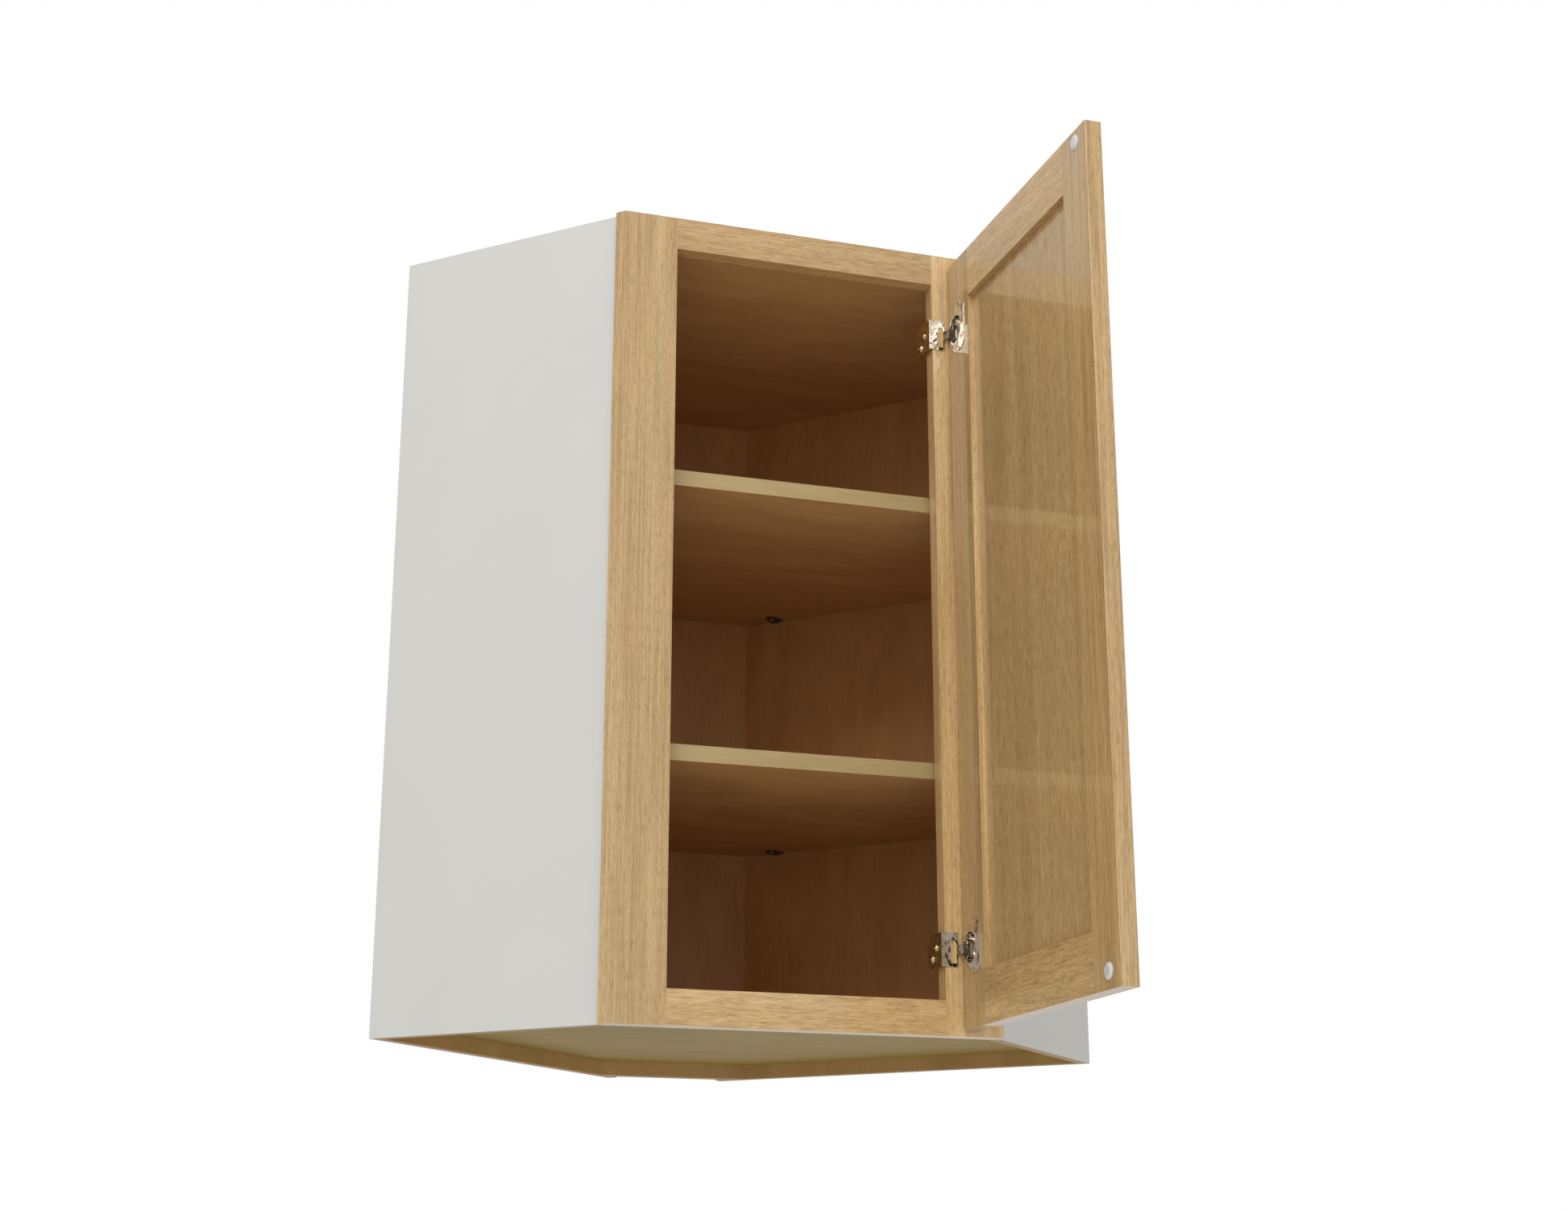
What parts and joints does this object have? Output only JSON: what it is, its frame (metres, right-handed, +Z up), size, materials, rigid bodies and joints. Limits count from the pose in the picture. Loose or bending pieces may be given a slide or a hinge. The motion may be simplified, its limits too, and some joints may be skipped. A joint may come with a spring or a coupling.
{
  "type": "wall cabinet",
  "caption": "Diagonal corner wall cabinet with a face frame, one hinged frame-and-panel door, adjustable shelves and a clipped back corner.",
  "frame": {"origin": "middle of the face frame's bottom edge, on the frame's front face", "axes": "+X to the right along the face frame, +Y into the cabinet towards the room corner, +Z up"},
  "size_m": [0.854, 0.9493, 0.9144],
  "materials": {
    "oak": "clear satin lacquer over natural oak",
    "pale_laminate": "pale grey laminate on board",
    "plywood": "brown wood-grain faced plywood",
    "edge_band": "light veneer edge band",
    "beech": "plain beech dowel",
    "zinc_screw": "zinc-plated steel",
    "brown_clip": "dark brown moulded plastic",
    "nickel": "bright nickel-plated steel",
    "clear_bumper": "clear soft plastic"
  },
  "bodies": {
    "cabinet": {"frame_left_stile": "oak", "frame_right_stile": "oak", "frame_bottom_rail": "oak", "frame_top_rail": "oak", "left_side_panel": "pale_laminate", "right_side_panel": "pale_laminate", "left_back_panel": "plywood", "right_back_panel": "plywood", "corner_strip": "plywood", "top_panel": "plywood", "bottom_panel": "plywood", "upper_shelf": "plywood", "lower_shelf": "plywood", "upper_shelf_band": "edge_band", "lower_shelf_band": "edge_band", "frame_dowels": "beech", "back_screws": "zinc_screw", "corner_screws": "zinc_screw", "hinge_plate_screws": "zinc_screw", "shelf_clips": "brown_clip", "shelf_clip_screws": "zinc_screw", "hinge_fixing_screws": "nickel", "hinge_cam_screws": "nickel", "lower_hinge_plate": "nickel", "lower_hinge_arm": "nickel", "upper_hinge_plate": "nickel", "upper_hinge_arm": "nickel"},
    "door": {"door_hinge_stile": "oak", "door_free_stile": "oak", "door_top_rail": "oak", "door_bottom_rail": "oak", "door_panel": "oak", "upper_bumper": "clear_bumper", "lower_bumper": "clear_bumper", "lower_hinge_cup": "nickel", "upper_hinge_cup": "nickel", "hinge_cup_screws": "nickel", "hinge_pins": "nickel"}
  },
  "joints": [
    {"name": "door_swing", "type": "hinge", "parent": "cabinet", "child": "door", "pos_m": [0.18172, -0.009, 0.4524], "axis": [0, 0, 1], "range_deg": [-90, 15]}
  ]
}
